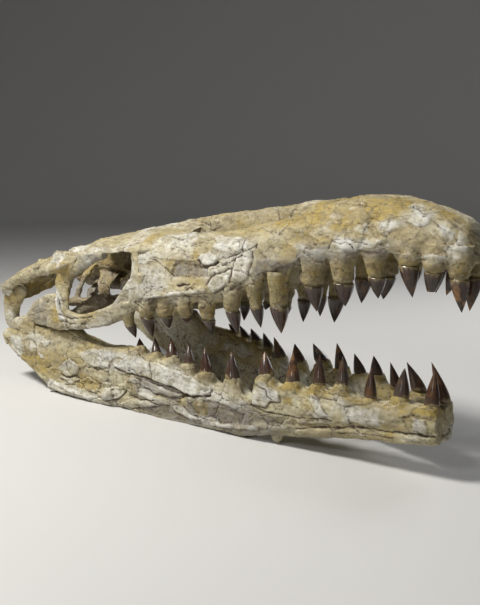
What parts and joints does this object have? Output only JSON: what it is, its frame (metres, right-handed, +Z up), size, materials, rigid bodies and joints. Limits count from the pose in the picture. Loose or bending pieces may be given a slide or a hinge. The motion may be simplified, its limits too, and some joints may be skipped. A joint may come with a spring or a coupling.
{
  "type": "fossil mosasaur skull",
  "caption": "Fossil skull of a large marine reptile on its lower jaws, mouth part open, with long pointed teeth, cracked cream bone and open eye and temple sockets.",
  "frame": {"origin": "on the ground under the middle of the skull's bounding box", "axes": "+X towards the tip of the snout, +Y to the animal's left, +Z up"},
  "size_m": [0.93, 0.362, 0.3698],
  "materials": {
    "cranium_bone": "matt, cracked, stained",
    "jaw_bone": "matt, cracked, flaking",
    "quadrate_bone": "matt, rough",
    "tooth_enamel": "glossy, finely ridged"
  },
  "bodies": {
    "root": {"cranium": "cranium_bone", "right_mandible": "jaw_bone", "left_mandible": "jaw_bone", "right_quadrate": "quadrate_bone", "left_quadrate": "quadrate_bone", "upper_right_tooth_01": "tooth_enamel", "upper_right_tooth_02": "tooth_enamel", "upper_right_tooth_03": "tooth_enamel", "upper_right_tooth_04": "tooth_enamel", "upper_right_tooth_05": "tooth_enamel", "upper_right_tooth_06": "tooth_enamel", "upper_right_tooth_07": "tooth_enamel", "upper_right_tooth_08": "tooth_enamel", "upper_right_tooth_09": "tooth_enamel", "upper_right_tooth_10": "tooth_enamel", "upper_right_tooth_11": "tooth_enamel", "upper_right_tooth_12": "tooth_enamel", "upper_right_tooth_13": "tooth_enamel", "upper_right_tooth_14": "tooth_enamel", "upper_left_tooth_01": "tooth_enamel", "upper_left_tooth_02": "tooth_enamel", "upper_left_tooth_03": "tooth_enamel", "upper_left_tooth_04": "tooth_enamel", "upper_left_tooth_05": "tooth_enamel", "upper_left_tooth_06": "tooth_enamel", "upper_left_tooth_07": "tooth_enamel", "upper_left_tooth_08": "tooth_enamel", "upper_left_tooth_09": "tooth_enamel", "upper_left_tooth_10": "tooth_enamel", "upper_left_tooth_11": "tooth_enamel", "upper_left_tooth_12": "tooth_enamel", "upper_left_tooth_13": "tooth_enamel", "upper_left_tooth_14": "tooth_enamel", "lower_right_tooth_01": "tooth_enamel", "lower_right_tooth_02": "tooth_enamel", "lower_right_tooth_03": "tooth_enamel", "lower_right_tooth_04": "tooth_enamel", "lower_right_tooth_05": "tooth_enamel", "lower_right_tooth_06": "tooth_enamel", "lower_right_tooth_07": "tooth_enamel", "lower_right_tooth_08": "tooth_enamel", "lower_right_tooth_09": "tooth_enamel", "lower_right_tooth_10": "tooth_enamel", "lower_right_tooth_11": "tooth_enamel", "lower_right_tooth_12": "tooth_enamel", "lower_right_tooth_13": "tooth_enamel", "lower_left_tooth_01": "tooth_enamel", "lower_left_tooth_02": "tooth_enamel", "lower_left_tooth_03": "tooth_enamel", "lower_left_tooth_04": "tooth_enamel", "lower_left_tooth_05": "tooth_enamel", "lower_left_tooth_06": "tooth_enamel", "lower_left_tooth_07": "tooth_enamel", "lower_left_tooth_08": "tooth_enamel", "lower_left_tooth_09": "tooth_enamel", "lower_left_tooth_10": "tooth_enamel", "lower_left_tooth_11": "tooth_enamel", "lower_left_tooth_12": "tooth_enamel", "lower_left_tooth_13": "tooth_enamel"}
  },
  "joints": []
}
